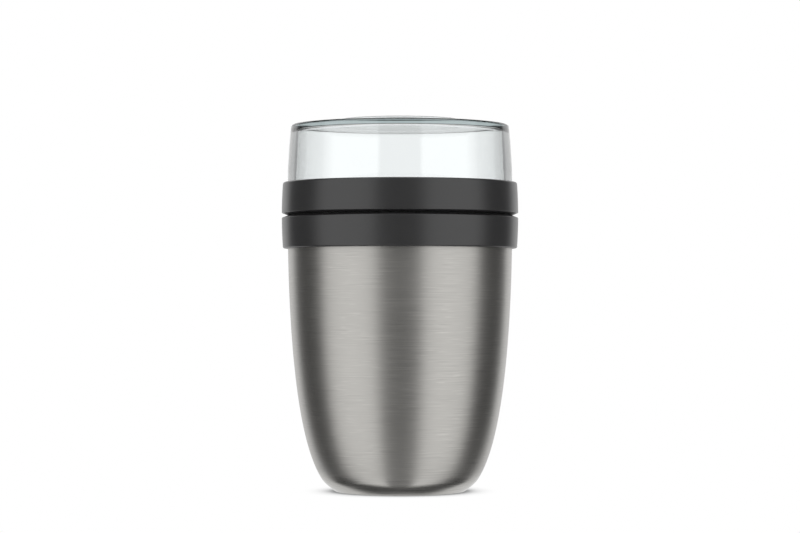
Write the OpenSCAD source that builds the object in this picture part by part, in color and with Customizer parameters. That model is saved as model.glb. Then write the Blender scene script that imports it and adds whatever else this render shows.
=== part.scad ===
// Insulated food pot: a double-walled steel pot with a dark screw lid, which carries
// a clear cup standing upside down on a screw lid of its own.
// Millimetres, +Z up, origin at the centre of the ring that the pot stands on.
// Above the joint between the two lids the cup's side mirrors the pot's side, so many
// levels are written as a distance from that joint, in either direction.

/* [Steel body] */
// Widest outside diameter of the steel body
pot_d = 101.4; // [98:0.1:104]
// Height of the joint between the two lids above the table
joint_z = 124.3; // [110:0.1:140]
// How far below the table the nose of the body's curve would lie
nose_drop = 4.9; // [3.5:0.1:7]
// Thickness of the outer steel sheet
shell_t = 0.6; // [0.4:0.05:0.8]
// Thickness of the steel liner
liner_t = 0.5; // [0.4:0.05:0.8]
// Empty space between the two steel walls
vacuum_gap = 4.4; // [3.5:0.1:5]
// Height on the body at which the liner starts to turn into its floor
liner_turn_z = 18; // [14:0.5:26]
// Height of the top of the liner's floor above the table
liner_floor_z = 9.5; // [8.8:0.1:12]
// Width of the rounded corner between the liner's floor and its side
liner_corner_w = 14; // [8:0.5:18]

/* [Neck] */
// Step inwards from the widest part of the body to the threaded neck
neck_step = 1.7; // [1.5:0.05:1.9]
// How far the collars reach past the shoulder, where the neck ends
shoulder_cover = 2.3; // [1.4:0.1:2.6]
// Height of the slope between neck and shoulder
shoulder_h = 0.9; // [0.6:0.1:1.1]
// Radius of the shoulder's edge
shoulder_edge_r = 0.9; // [0.3:0.1:1]
// Radius of the rolled edge of the rim
rim_edge_r = 1; // [0.5:0.1:1.2]

/* [Base] */
// Height at which the side starts to turn into the heel
heel_h = 5.5; // [4:0.1:7]
// Height at which the heel bends most
heel_turn_z = 3.1; // [2:0.1:3.6]
// Outside radius of the flat ring that the pot stands on
foot_r = 29.2; // [27:0.1:31]
// Width of that ring
foot_w = 1.8; // [1.4:0.1:3]
// Radius of the ring's outer edge
foot_edge_r = 0.6; // [0.3:0.1:0.8]
// Depth of the recess under the pot
recess_h = 2.6; // [2:0.1:3]
// Thickness of the welded base plate
plate_t = 0.6; // [0.4:0.05:0.8]
// Radius of the dimple in the base plate
dimple_r = 7; // [5:0.1:9]
// Height of the dimple
dimple_h = 1.4; // [1:0.1:1.8]
// Width of the dimple's sloping side
dimple_slope_w = 0.8; // [0.6:0.1:1.5]
// Radius of the hole through which the air was drawn out
hole_r = 1.2; // [0.8:0.1:2]
// Thickness of the disc that covers the dimple
cover_t = 0.9; // [0.6:0.1:1.2]
// Radius of the shallow dish in the cover disc
cover_dish_r = 18; // [12:0.5:22]
// Depth of the shallow dish in the cover disc
cover_dish_h = 0.25; // [0.15:0.05:0.4]
// Gap between the cover disc and the standing ring
cover_gap = 0.4; // [0.2:0.1:1]

/* [Vacuum fittings] */
// Radius of the head of the solder bead
bead_r = 3; // [2.4:0.1:4]
// Thickness of the head of the solder bead
bead_h = 0.7; // [0.5:0.1:0.9]
// Radius of the getter pellet
getter_r = 4; // [3:0.1:6]
// Thickness of the getter pellet
getter_h = 1.6; // [1:0.1:2.2]
// Distance of the getter pellet from the axis
getter_x = 12; // [12:0.5:14]
// Thickness of the heat foil round the liner
foil_t = 0.15; // [0.1:0.05:0.3]
// Gap between the heat foil and the liner
foil_gap = 0.1; // [0.1:0.05:0.3]
// Height of the foil's lower edge above the table
foil_low_z = 24; // [20:1:40]
// Distance from the joint down to the foil's upper edge
foil_high_s = 17; // [15:1:30]

/* [Collars] */
// How far the collars stand out from the body at the joint
collar_out = 2.7; // [2.4:0.1:4]
// Height of each collar
collar_h = 13.8; // [13.4:0.1:15]
// Radius of the gentle curve of the collars' sides
collar_arc_r = 208; // [150:1:400]
// Opening of the V groove between the collars
groove_w = 2.2; // [1.6:0.1:2.8]
// Depth of the V groove
groove_depth = 2.2; // [1.8:0.1:2.8]
// Radius of the collars' edges at the groove
lip_edge_r = 0.4; // [0.2:0.05:0.5]
// Radius of the collars' far edges
collar_edge_r = 0.9; // [0.4:0.1:1]
// Thickness of the lids' plastic
lid_t = 2; // [1.6:0.1:2.4]
// Gap between the two lids where their flat faces meet
face_gap = 0.5; // [0.4:0.05:0.8]
// Running gap between a collar and what it covers
skirt_gap = 0.35; // [0.3:0.05:0.5]
// Radius inside the corners of the lids
inside_r = 0.6; // [0.3:0.1:0.8]

/* [Screw threads] */
// Rise of the lid and the cup in one full turn
lead = 16; // [14:0.5:18]
// Number of thread starts
starts = 4; // [4:1:5]
// Width of a thread ridge at its foot
ridge_foot_w = 2.2; // [1.8:0.1:2.4]
// Width of a thread ridge at its crest
ridge_crest_w = 1; // [0.6:0.1:1.2]
// Gap between the crest of a ridge and the wall across from it
crest_gap = 0.6; // [0.5:0.05:0.75]
// Turn that each ridge of the lids' threads covers, in degrees
ridge_span = 100; // [80:5:105]

/* [Quick thread between the lids] */
// How far the boss on the pot's lid is set in from the plug's side
boss_inset = 12.7; // [11:0.1:18]
// Height of the boss above the joint
boss_h = 6.2; // [6:0.1:7]
// Gap between the side of the boss and the recess that takes it
boss_gap = 2.2; // [1.9:0.1:2.6]
// Gap between the top of the boss and the roof of the recess
boss_top_gap = 0.5; // [0.4:0.1:1]
// Turn that each ridge of the quick thread covers, in degrees
link_span = 70; // [60:5:75]

/* [Cup] */
// Height of the closed end of the cup above the joint
cup_top_s = 40.9; // [34:0.1:60]
// Height of the straight part of the cup's side above its shoulder
cup_straight_h = 0.6; // [0.4:0.1:8]
// Radius of the curve of the cup's side
cup_arc_r = 240; // [150:1:500]
// Thickness of the cup's wall at its mouth
cup_t = 3.6; // [2.8:0.1:3.8]
// Thickness of the wall where it meets the closed end
cup_top_t = 3.35; // [2.4:0.05:3.8]
// Distance from the joint at which the upright inside of the cup starts to taper
cup_taper_s = 18.9; // [14:0.1:24]
// Thickness of the cup's closed end
cup_end_t = 2.5; // [2:0.1:4]
// Outside radius of the ring that the cup stands on when it is turned over
cup_foot_r = 28; // [20:0.5:34]
// Width of that ring
cup_foot_w = 2.6; // [1.8:0.1:5]
// How far that ring stands out from the closed end
cup_foot_h = 2.3; // [1.2:0.1:3]
// Radius of that ring's edges
cup_foot_edge_r = 0.8; // [0.3:0.1:0.8]
// Radius of the cup's outer edge
cup_edge_r = 1.2; // [0.6:0.1:2.4]
// Radius of the cup's inner corner
cup_corner_r = 1.7; // [1:0.1:4]
// Radius of the edges of the cup's mouth
mouth_edge_r = 0.5; // [0.2:0.1:0.7]

/* [Plug] */
// Gap between the plug under the pot's lid and the liner
plug_gap = 1; // [0.6:0.1:1.5]
// Distance from the joint to the bottom of the plug
plug_s = 16.7; // [14:0.1:18]
// Thickness of the plug's wall
plug_t = 1.6; // [1.2:0.1:2]
// Thickness of the plug's floor
plug_floor_t = 1.8; // [1.4:0.1:2.4]
// Radius of the plug's lower edge
plug_edge_r = 1.5; // [0.8:0.1:2]
// Gap round the foam inside the plug
foam_gap = 0.2; // [0.1:0.05:0.5]
// Height of the rib in the cup's lid that holds the cup's seal in place
rib_h = 3.2; // [2.4:0.1:4]
// Thickness of that rib
rib_t = 1.6; // [1.2:0.1:2]

/* [Seals] */
// Thickness of the seals
seal_t = 1.45; // [1.2:0.05:1.6]
// Gap between a seal and the faces that press on it
seal_gap = 0.3; // [0.2:0.05:0.4]
// Gap between a seal and the plug or rib inside it
seal_side_gap = 0.3; // [0.2:0.05:0.5]
// Width of each of a seal's two lips
seal_lip_w = 1.3; // [1:0.1:1.6]
// Depth of the channel between the lips
seal_channel_h = 0.45; // [0.2:0.05:0.6]
// Distance from the point of the V groove to the pockets that hold the joint ring
pocket_inset = 0.7; // [0.5:0.1:3]
// Width of those pockets
pocket_w = 4; // [3:0.1:4.2]
// Depth of each pocket
pocket_h = 0.5; // [0.4:0.05:0.7]
// Gap between the joint ring and its pockets
ring_gap = 0.3; // [0.2:0.05:0.35]

/* [Hidden] */
$fn = 144;
// Powers of the body's curve: how fast it closes towards the floor, and how square its corner is
curve_power = 2.07;
corner_power = 5.05;
// How strongly the steps of a curve bunch towards its low end
bunching_power = 1.5;
// Steps in the body's curve, the cup's and the collars' sides, a free bend and a rounded edge
curve_steps = 28;
cup_steps = 7;
side_steps = 6;
bend_steps = 12;
edge_steps = 5;
// Radius of the small edges of the sheet metal and of the seals
sheet_edge_r = 0.3;
// How deep a thread ridge is set into its wall, and its height at its ends as a share of the full one
ridge_bite = 0.3;
ridge_end_share = 0.12;
// Turn between two steps of a ridge, and the turn over which its ends run out, in degrees
ridge_step = 5;
run_out = 15;
// Gap between the solder bead's stem and its hole
stem_gap = 0.05;
body_reach = joint_z + nose_drop;
neck_r = pot_d / 2 - neck_step;
// Levels of the collars, lids and rims, measured from the joint
face_s = face_gap / 2;
deck_s = face_s + lid_t;
rim_s = deck_s + seal_t + 2 * seal_gap;
pocket_s = face_s + pocket_h;
collar_near_s = groove_w / 2;
collar_far_s = collar_near_s + collar_h;
shoulder_s = collar_far_s - shoulder_cover;
thread_s = (rim_s + liner_t + shoulder_s - shoulder_h) / 2;
link_s = boss_h / 2;
cup_bulge_s = shoulder_s + cup_straight_h;
boss_recess_s = boss_h + boss_top_gap;
// The same levels on the pot, above the table
rim_z = joint_z - rim_s;
shoulder_z = joint_z - shoulder_s;
wall_top_z = shoulder_z - shoulder_edge_r - sheet_edge_r;
// Depths of the walls under the steel's outer surface
liner_out_depth = shell_t + vacuum_gap;
liner_in_depth = liner_out_depth + liner_t;
foil_in_depth = liner_out_depth - foil_gap;
foil_out_depth = foil_in_depth - foil_t;
mouth_r = wall_point(rim_z, liner_in_depth).x;
foot_in_r = foot_r - foot_w;
plate_r = foot_in_r + shell_t;
plate_z = recess_h;
cover_z = recess_h - cover_t;
// Radii of the lids and what they hold
groove_r = pot_d / 2 + collar_out - groove_depth;
skirt_r = pot_d / 2 + skirt_gap;
plug_r = mouth_r - plug_gap;
boss_r = plug_r - boss_inset;
boss_recess_r = boss_r + boss_gap;
seal_in_r = plug_r + seal_side_gap;
seal_out_r = neck_r - seal_gap;
pocket_out_r = groove_r - pocket_inset;
pocket_in_r = pocket_out_r - pocket_w;

// Steel curve: an egg shape, widest at the joint, whose nose is cut off by the floor
function body_r(z) =
    pot_d / 2 * pow(1 - pow((joint_z - z) / body_reach, curve_power), 1 / corner_power);

// Growth of that radius for each unit of height
function body_slope(z) =
    let (u = (joint_z - z) / body_reach)
    pot_d / 2 * curve_power / (corner_power * body_reach) * pow(u, curve_power - 1)
    * pow(1 - pow(u, curve_power), 1 / corner_power - 1);

// Point of the body's curve at height z, moved square to the wall by a depth inwards
function wall_point(z, depth) =
    let (s = body_slope(z))
    [body_r(z), z] + depth * [-1, s] / norm([1, s]);

// Point where the wall's line, carried on from height z, meets a level
function wall_corner(z, depth, level) =
    let (p = wall_point(z, depth))
    [p.x - body_slope(z) * (p.y - level), level];

function heel_corner(depth, level) = wall_corner(heel_h, depth, level);

// Points of the wall above low, up to high, closer together near low
function wall(low, high, depth) =
    [for (i = [1:curve_steps])
        wall_point(low + (high - low) * pow(i / curve_steps, bunching_power), depth)];

// Point of a bend that leaves a towards b and arrives at c from b, t of the way along
function bend_point(a, b, c, t) = pow(1 - t, 2) * a + 2 * t * (1 - t) * b + t * t * c;

function bend(a, b, c) = [for (i = [0:bend_steps]) bend_point(a, b, c, i / bend_steps)];

function backwards(list) = [for (i = [len(list) - 1:-1:0]) list[i]];

function ray(a) = [cos(a), sin(a)];

// Arc of radius r in the corner p between a and b, or the corner itself when r is not given
function edge(a, p, b, r) =
    is_undef(r) ? [p] :
    let (
        u = (a - p) / norm(a - p),
        v = (b - p) / norm(b - p),
        half = acos(u * v) / 2,
        reach = min(r / tan(half), norm(a - p) / 2, norm(b - p) / 2),
        arc_r = reach * tan(half),
        mid = p + (u + v) / norm(u + v) * arc_r / sin(half),
        from = p + reach * u - mid,
        to = p + reach * v - mid,
        start = atan2(from.y, from.x),
        sweep = (atan2(to.y, to.x) - start + 540) % 360 - 180
    )
    [for (i = [0:edge_steps]) mid + arc_r * ray(start + sweep * i / edge_steps)];

// Outline from corners [r, z] or [r, z, edge radius], in order
function outline(corners) =
    let (n = len(corners), p = [for (c = corners) [c.x, c.y]])
    [for (i = [0:n - 1]) each edge(p[(i + n - 1) % n], p[i], p[(i + 1) % n], corners[i][2])];

module turned(corners) {
    rotate_extrude()
        polygon(outline(corners));
}

// Places outlines measured from the joint: upwards for the cup's side, downwards for the pot's
module above_joint() {
    translate([0, 0, joint_z])
        children();
}

module below_joint() {
    translate([0, 0, joint_z])
        mirror([0, 0, 1])
            children();
}

// One ridge of a right-hand screw thread, centred on the +X side at height z_mid,
// whose height fades out at both ends
module ridge(foot_r, crest_r, z_mid, span) {
    steps = round(span / ridge_step);
    outwards = crest_r > foot_r;
    rings = [for (i = [0:steps])
        let (
            a = span * (i / steps - 0.5),
            fade = min(1, (span / 2 - abs(a)) / run_out),
            tip_r = foot_r + (crest_r - foot_r) * max(ridge_end_share, fade),
            z = z_mid + lead * a / 360,
            section = [
                [foot_r, -ridge_foot_w / 2], [tip_r, -ridge_crest_w / 2],
                [tip_r, ridge_crest_w / 2], [foot_r, ridge_foot_w / 2]
            ]
        )
        for (p = outwards ? section : backwards(section)) [p.x * cos(a), p.x * sin(a), z + p.y]];
    sides = [for (i = [0:steps - 1], j = [0:3])
        let (p = 4 * i + j, q = 4 * i + (j + 1) % 4)
        each [[p, q, p + 4], [q, q + 4, p + 4]]];
    last = 4 * steps;
    ends = [[0, 2, 1], [0, 3, 2], [last, last + 1, last + 2], [last, last + 2, last + 3]];
    polyhedron(rings, concat(sides, ends));
}

// All the ridges of one thread; turn is where the first of them lies
module thread(foot_r, crest_r, z_mid, span, turn) {
    for (i = [0:starts - 1])
        rotate([0, 0, turn + 360 * i / starts])
            ridge(foot_r, crest_r, z_mid, span);
}

// Thread on the outside of a wall, under a bore whose radius is bore_r
module outer_thread(wall_r, bore_r, z_mid, span) {
    thread(wall_r - ridge_bite, bore_r - crest_gap, z_mid, span, 0);
}

// The thread in a bore that runs on it: half a pitch away
module inner_thread(wall_r, bore_r, z_mid, span) {
    thread(bore_r + ridge_bite, wall_r + crest_gap, z_mid, span, 180 / starts);
}

// Side of both collars: a shallow arc, widest at the joint
function collar_r(s) = pot_d / 2 + collar_out - s * s / (2 * collar_arc_r);

// Corners shared by both lids, from the pocket of the joint ring round the collar to the deck
function collar_corners() = concat(
    [
        [pocket_in_r, face_s],
        [pocket_in_r, pocket_s],
        [pocket_out_r, pocket_s],
        [pocket_out_r, face_s],
        [groove_r, face_s],
        [collar_r(collar_near_s), collar_near_s, lip_edge_r]
    ],
    [for (i = [1:side_steps - 1])
        let (s = collar_near_s + collar_h * i / side_steps)
        [collar_r(s), s]],
    [
        [collar_r(collar_far_s), collar_far_s, collar_edge_r],
        [skirt_r, collar_far_s, sheet_edge_r],
        [skirt_r, deck_s, inside_r]
    ]
);

// Seal ring with two lips towards the rim
function seal_corners() =
    let (near_s = deck_s + seal_gap, far_s = rim_s - seal_gap, channel_s = far_s - seal_channel_h)
    [
        [seal_in_r, near_s, sheet_edge_r],
        [seal_out_r, near_s, sheet_edge_r],
        [seal_out_r, far_s, sheet_edge_r],
        [seal_out_r - seal_lip_w, far_s, sheet_edge_r],
        [seal_out_r - seal_lip_w, channel_s],
        [seal_in_r + seal_lip_w, channel_s],
        [seal_in_r + seal_lip_w, far_s, sheet_edge_r],
        [seal_in_r, far_s, sheet_edge_r]
    ];

// Outer steel wall: heel, curved side, shoulder and threaded neck, one pressed sheet
module outer_shell() {
    neck_top_z = rim_z - liner_t;
    // The slope's thickness, taken upright
    slope_t = shell_t * norm([neck_step, shoulder_h]) / neck_step;
    inner_shoulder_z = shoulder_z - slope_t + shell_t * shoulder_h / neck_step;
    heel_mid = heel_corner(0, heel_turn_z);
    heel_in_mid = heel_corner(shell_t, heel_turn_z + shell_t);
    color([0.68, 0.67, 0.65])
    union() {
        turned(concat(
            [[foot_r, 0, foot_edge_r]],
            [for (i = [1:bend_steps])
                bend_point([foot_r, 0], heel_mid, wall_point(heel_h, 0), i / bend_steps)],
            wall(heel_h, wall_top_z, 0),
            [
                [body_r(shoulder_z), shoulder_z, shoulder_edge_r],
                [neck_r, shoulder_z + shoulder_h, sheet_edge_r],
                [neck_r, neck_top_z],
                [neck_r - shell_t, neck_top_z],
                [neck_r - shell_t, inner_shoulder_z + shoulder_h, sheet_edge_r],
                [body_r(shoulder_z) - shell_t, inner_shoulder_z, sheet_edge_r]
            ],
            backwards(wall(heel_h, wall_top_z - slope_t, shell_t)),
            bend(wall_point(heel_h, shell_t), heel_in_mid, [foot_r, shell_t]),
            [
                [foot_in_r + shell_t, shell_t],
                [foot_in_r + shell_t, recess_h],
                [foot_in_r, recess_h],
                [foot_in_r, 0, sheet_edge_r]
            ]
        ));
        outer_thread(neck_r, skirt_r, joint_z - thread_s, ridge_span);
    }
}

// Side and floor of the liner at one depth, from the axis upwards
function liner_side(depth, floor_z) =
    let (
        corner = wall_corner(liner_turn_z, depth, floor_z),
        flat_end = corner - [liner_corner_w, 0]
    )
    concat(
        [[0, floor_z]],
        bend(flat_end, corner, wall_point(liner_turn_z, depth)),
        wall(liner_turn_z, rim_z - rim_edge_r - liner_t, depth)
    );

// Steel liner that holds the food; its rolled rim closes the gap between the walls
module inner_shell() {
    color([0.78, 0.77, 0.75])
    turned(concat(
        liner_side(liner_in_depth, liner_floor_z),
        [
            [mouth_r, rim_z, rim_edge_r],
            [neck_r, rim_z, sheet_edge_r],
            [neck_r, rim_z - liner_t],
            [mouth_r + liner_t, rim_z - liner_t, sheet_edge_r]
        ],
        backwards(liner_side(liner_out_depth, liner_floor_z - liner_t))
    ));
}

// Base plate welded on the flange of the outer wall, with a dimple for the closed vacuum hole
module base_plate() {
    top_z = plate_z + plate_t;
    color([0.62, 0.61, 0.6])
    turned([
        [hole_r, plate_z + dimple_h],
        [dimple_r, plate_z + dimple_h, sheet_edge_r],
        [dimple_r + dimple_slope_w, plate_z, sheet_edge_r],
        [plate_r, plate_z],
        [plate_r, top_z],
        [dimple_r + dimple_slope_w + plate_t / 2, top_z, sheet_edge_r],
        [dimple_r + plate_t / 2, top_z + dimple_h, sheet_edge_r],
        [hole_r, top_z + dimple_h]
    ]);
}

// Disc under the base plate that hides the vacuum hole
module base_cover() {
    cover_r = foot_in_r - cover_gap;
    color([0.7, 0.69, 0.67])
    turned([
        [0, cover_z + cover_dish_h],
        [cover_dish_r, cover_z + cover_dish_h],
        [cover_dish_r + cover_dish_h, cover_z],
        [cover_r, cover_z, sheet_edge_r],
        [cover_r, plate_z],
        [0, plate_z]
    ]);
}

// Solder bead that closed the hole when the air was out
module vacuum_seal() {
    roof_z = plate_z + dimple_h;
    color([0.72, 0.6, 0.35])
    turned([
        [0, roof_z - bead_h],
        [bead_r, roof_z - bead_h, sheet_edge_r],
        [bead_r, roof_z],
        [hole_r - stem_gap, roof_z],
        [hole_r - stem_gap, roof_z + plate_t],
        [0, roof_z + plate_t]
    ]);
}

// Pellet under the liner's floor that takes up the last gas
module getter() {
    color([0.35, 0.35, 0.37])
    translate([getter_x, 0, liner_floor_z - liner_t - getter_h])
        cylinder(r = getter_r, h = getter_h);
}

// Foil round the liner that turns heat back
module heat_foil() {
    high_z = joint_z - foil_high_s;
    color([0.85, 0.85, 0.87])
    turned(concat(
        [wall_point(foil_low_z, foil_out_depth)],
        wall(foil_low_z, high_z, foil_out_depth),
        backwards(wall(foil_low_z, high_z, foil_in_depth)),
        [wall_point(foil_low_z, foil_in_depth)]
    ));
}

// Ring between the pot's rim and its lid; it rises with the lid
module pot_seal() {
    color([0.16, 0.16, 0.17])
    below_joint()
        turned(seal_corners());
}

// The pot's lid: collar with thread, deck, and a boss with a quick thread for the cup's lid
module pot_lid_shell() {
    boss_in_r = boss_r - lid_t;
    color([0.2, 0.2, 0.21])
    union() {
        below_joint()
            turned(concat(
                [
                    [0, -boss_h],
                    [boss_r, -boss_h, inside_r],
                    [boss_r, face_s, sheet_edge_r]
                ],
                collar_corners(),
                [
                    [boss_in_r, deck_s, inside_r],
                    [boss_in_r, lid_t - boss_h, inside_r],
                    [0, lid_t - boss_h]
                ]
            ));
        inner_thread(neck_r, skirt_r, joint_z - thread_s, ridge_span);
        outer_thread(boss_r, boss_recess_r, joint_z + link_s, link_span);
    }
}

// Hollow plug under the pot's lid that reaches into the neck
module pot_lid_plug() {
    color([0.25, 0.25, 0.26])
    below_joint()
        turned([
            [0, plug_s],
            [plug_r, plug_s, plug_edge_r],
            [plug_r, deck_s],
            [plug_r - plug_t, deck_s],
            [plug_r - plug_t, plug_s - plug_floor_t, inside_r],
            [0, plug_s - plug_floor_t]
        ]);
}

// Foam that fills the plug and the boss
module lid_foam() {
    foam_r = plug_r - plug_t - foam_gap;
    foam_neck_r = boss_r - lid_t - foam_gap;
    color([0.93, 0.92, 0.88])
    below_joint()
        turned([
            [0, plug_s - plug_floor_t],
            [foam_r, plug_s - plug_floor_t, plug_edge_r],
            [foam_r, deck_s + foam_gap],
            [foam_neck_r, deck_s + foam_gap],
            [foam_neck_r, lid_t + foam_gap - boss_h, inside_r],
            [0, lid_t + foam_gap - boss_h]
        ]);
}

// Soft ring between the two lids, in the pockets of both
module joint_ring() {
    low_r = pocket_in_r + ring_gap;
    high_r = pocket_out_r - ring_gap;
    half_h = pocket_s - ring_gap;
    color([0.08, 0.08, 0.08])
    above_joint()
        turned([
            [low_r, -half_h, sheet_edge_r],
            [high_r, -half_h, sheet_edge_r],
            [high_r, half_h, sheet_edge_r],
            [low_r, half_h, sheet_edge_r]
        ]);
}

// The cup's lid: the same collar the other way up, a rib for the seal and a recess for the boss
module cup_lid_shell() {
    rib_s = deck_s + rib_h;
    color([0.2, 0.2, 0.21])
    union() {
        above_joint()
            turned(concat(
                [
                    [0, boss_recess_s],
                    [boss_recess_r, boss_recess_s, inside_r],
                    [boss_recess_r, face_s, sheet_edge_r]
                ],
                collar_corners(),
                [
                    [plug_r, deck_s, sheet_edge_r],
                    [plug_r, rib_s, inside_r],
                    [plug_r - rib_t, rib_s, inside_r],
                    [plug_r - rib_t, deck_s, inside_r],
                    [boss_recess_r + lid_t, deck_s, inside_r],
                    [boss_recess_r + lid_t, boss_recess_s + lid_t, 2 * inside_r],
                    [0, boss_recess_s + lid_t]
                ]
            ));
        inner_thread(neck_r, skirt_r, joint_z + thread_s, ridge_span);
        inner_thread(boss_r, boss_recess_r, joint_z + link_s, link_span);
    }
}

// Ring between the cup's mouth and its lid
module cup_seal() {
    color([0.16, 0.16, 0.17])
    above_joint()
        turned(seal_corners());
}

// Side of the cup: upright behind its collar, then a shallow arc
function cup_r(s) = pot_d / 2 - pow(max(0, s - cup_bulge_s), 2) / (2 * cup_arc_r);

// Clear cup, mouth down, with its thread round the mouth and its standing ring on top
module cup() {
    roof_s = cup_top_s - cup_end_t;
    foot_s = cup_top_s + cup_foot_h;
    side = [for (i = [0:cup_steps - 1]) cup_bulge_s + (cup_top_s - cup_bulge_s) * i / cup_steps];
    color([0.8, 0.9, 0.9, 0.45])
    union() {
        above_joint()
            turned(concat(
                [
                    [0, cup_top_s],
                    [cup_foot_r - cup_foot_w, cup_top_s, cup_foot_edge_r],
                    [cup_foot_r - cup_foot_w, foot_s, cup_foot_edge_r],
                    [cup_foot_r, foot_s, cup_foot_edge_r],
                    [cup_foot_r, cup_top_s, cup_foot_edge_r],
                    [cup_r(cup_top_s), cup_top_s, cup_edge_r]
                ],
                backwards([for (s = side) [cup_r(s), s]]),
                [
                    [cup_r(shoulder_s), shoulder_s, mouth_edge_r],
                    [neck_r, shoulder_s - shoulder_h, mouth_edge_r],
                    [neck_r, rim_s, mouth_edge_r],
                    [cup_r(rim_s) - cup_t, rim_s, mouth_edge_r],
                    [cup_r(rim_s) - cup_t, cup_taper_s],
                    [cup_r(roof_s) - cup_top_t, roof_s, cup_corner_r],
                    [0, roof_s]
                ]
            ));
        outer_thread(neck_r, skirt_r, joint_z + thread_s, ridge_span);
    }
}

outer_shell();
inner_shell();
base_plate();
base_cover();
vacuum_seal();
getter();
heat_foil();
pot_seal();
pot_lid_shell();
pot_lid_plug();
lid_foam();
joint_ring();
cup_lid_shell();
cup_seal();
cup();
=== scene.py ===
"""Insulated food pot with a clear cup on its lid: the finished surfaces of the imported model.

Lengths are metres, +Z is up and the origin is the centre of the ring that the pot stands on.
A level named s is a distance from the joint between the two lids, downwards for the pot's
lid and upwards for the cup's lid, because the two sides mirror each other there.
"""

import math

import bpy
import numpy as np
from bpy.props import FloatProperty, FloatVectorProperty, IntProperty, PointerProperty
from bpy.types import Operator, Panel, PropertyGroup
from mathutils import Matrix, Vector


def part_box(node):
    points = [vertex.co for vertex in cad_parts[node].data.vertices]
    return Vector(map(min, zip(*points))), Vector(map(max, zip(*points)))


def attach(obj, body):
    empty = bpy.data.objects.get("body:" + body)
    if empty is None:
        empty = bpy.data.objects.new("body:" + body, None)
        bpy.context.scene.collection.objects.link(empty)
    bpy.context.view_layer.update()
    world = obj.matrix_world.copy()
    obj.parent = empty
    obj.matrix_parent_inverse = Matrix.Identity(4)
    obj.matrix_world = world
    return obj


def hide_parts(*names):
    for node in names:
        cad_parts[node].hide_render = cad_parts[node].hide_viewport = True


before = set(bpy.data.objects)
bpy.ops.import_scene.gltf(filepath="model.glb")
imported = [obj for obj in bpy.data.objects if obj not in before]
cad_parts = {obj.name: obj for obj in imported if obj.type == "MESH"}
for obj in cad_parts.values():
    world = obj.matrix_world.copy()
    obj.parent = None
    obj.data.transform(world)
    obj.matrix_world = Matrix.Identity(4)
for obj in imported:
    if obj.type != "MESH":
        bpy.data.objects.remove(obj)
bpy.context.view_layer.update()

bl_info = {
    "name": "Insulated Food Pot",
    "version": (1, 0, 0),
    "blender": (4, 5, 0),
    "location": "3D View > Sidebar > Food Pot",
    "description": "Steel food pot with a dark screw lid and a clear cup on top",
    "category": "Add Mesh",
}

MM = 0.001
JOINT_Z = sum(corner.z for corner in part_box("joint_ring")) / 2

# Powers of the body's curve: how fast it closes towards the floor, and how square its corner is
CURVE_POWER = 2.07
CORNER_POWER = 5.05
BUNCHING_POWER = 1.5

# Counts of points: the body's curve, the liner's and the cup's side, a collar's side, a bend, an edge
BODY_STEPS = 120
LINER_STEPS = 60
CUP_STEPS = 24
COLLAR_STEPS = 12
BEND_STEPS = 16
EDGE_STEPS = 6
# Columns round a piece, and round the clear cup, which shows its facets more
COLUMNS = 256
CUP_COLUMNS = 320
# Rows on a threaded wall, the rows beside a bend that keep a flat face flat, the turn that counts
# as such a bend, and the angle that stays sharp
THREAD_ROW = 0.12 * MM
HOLD = 0.12 * MM
HOLD_TURN = math.radians(3)
SHARP_ANGLE = math.radians(50)
# Depth of clear plastic that its colour is given for
TINT_DEPTH = 100 * MM
# Depths of relief on the brushed wall, the liner, turned steel, moulded plastic and rubber
WALL_RELIEF = 0.02 * MM
LINER_RELIEF = 0.008 * MM
TURNED_RELIEF = 0.01 * MM
PLASTIC_RELIEF = 0.004 * MM
RUBBER_RELIEF = 0.01 * MM
# Distance that counts as none
NEARLY_0 = 1e-3 * MM
# How far a curved side ends before its corner, in radii of the corner's edge
ARC_ROOM = 2.2
# Share of a full turn that lays the stretch of reflections across the brushing
ACROSS_BRUSHING = 0.25

# Where the parts of the room begin and end, on a direction one long: Y points away from the camera
ROOM_FRONT = (-0.1, 0.1)
ROOM_BACK = (-0.05, 0.2)
ROOM_ABOVE = (math.sin(math.radians(50)), math.sin(math.radians(75)))
FRONT_SOFT = math.radians(1.5)
BOX_SOFT = math.radians(7)
# Share of the front's width that follows the wall, and its light where it points down
FRONT_ON_WALL = 0.75
FRONT_DOWN = (0.5, 0.95)
FRONT_EXTRA = 0.12
# Shadow under the pot, and the table behind it, whose near edge bends away at the sides
UNDER_DOWN = (0.6, 0.9)
UNDER_BACK = (-0.25, 0.2)
TABLE_DOWN = (0.1, 0.3)
TABLE_BACK = (-0.1, 0.1)
TABLE_EDGE = (-0.05, 0.09)
TABLE_SIDE = (0.0, 0.8)
TABLE_NEAR, TABLE_FAR = 0.4, 1.0
# How open the floor is from its darkest to its brightest, and the rays that measure it
OPEN_FLOOR = (0.0, 0.6)
AO_SAMPLES = 16
# Nearest and farthest that the camera sees
CLIP = (10 * MM, 100)
# What the cup's far walls mirror straight ahead, and what its edges mirror steeply
AHEAD = (0.3, 0.9)
STEEP = (0.12, 0.3)
# A ray bent more often than this has crossed both walls of the cup, and one mirrored less often
# than this has gone straight. Nothing counts as pointing less far down than this.
BOTH_WALLS = 2.5
NO_MIRROR = 0.5
LEAST_DOWN = 0.05


def length(name, size_mm, description):
    """Setting for a length, given in millimetres and kept in metres."""
    return FloatProperty(name=name, description=description, default=size_mm * MM,
                         unit="LENGTH", subtype="DISTANCE", precision=5)


def share(name, value, description):
    """Setting for a number from 0 to 1."""
    return FloatProperty(name=name, description=description, default=value,
                         min=0, max=1, subtype="FACTOR")


def level(name, value, description):
    """Setting for a brightness, where 1 is white paper."""
    return FloatProperty(name=name, description=description, default=value, min=0)


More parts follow.
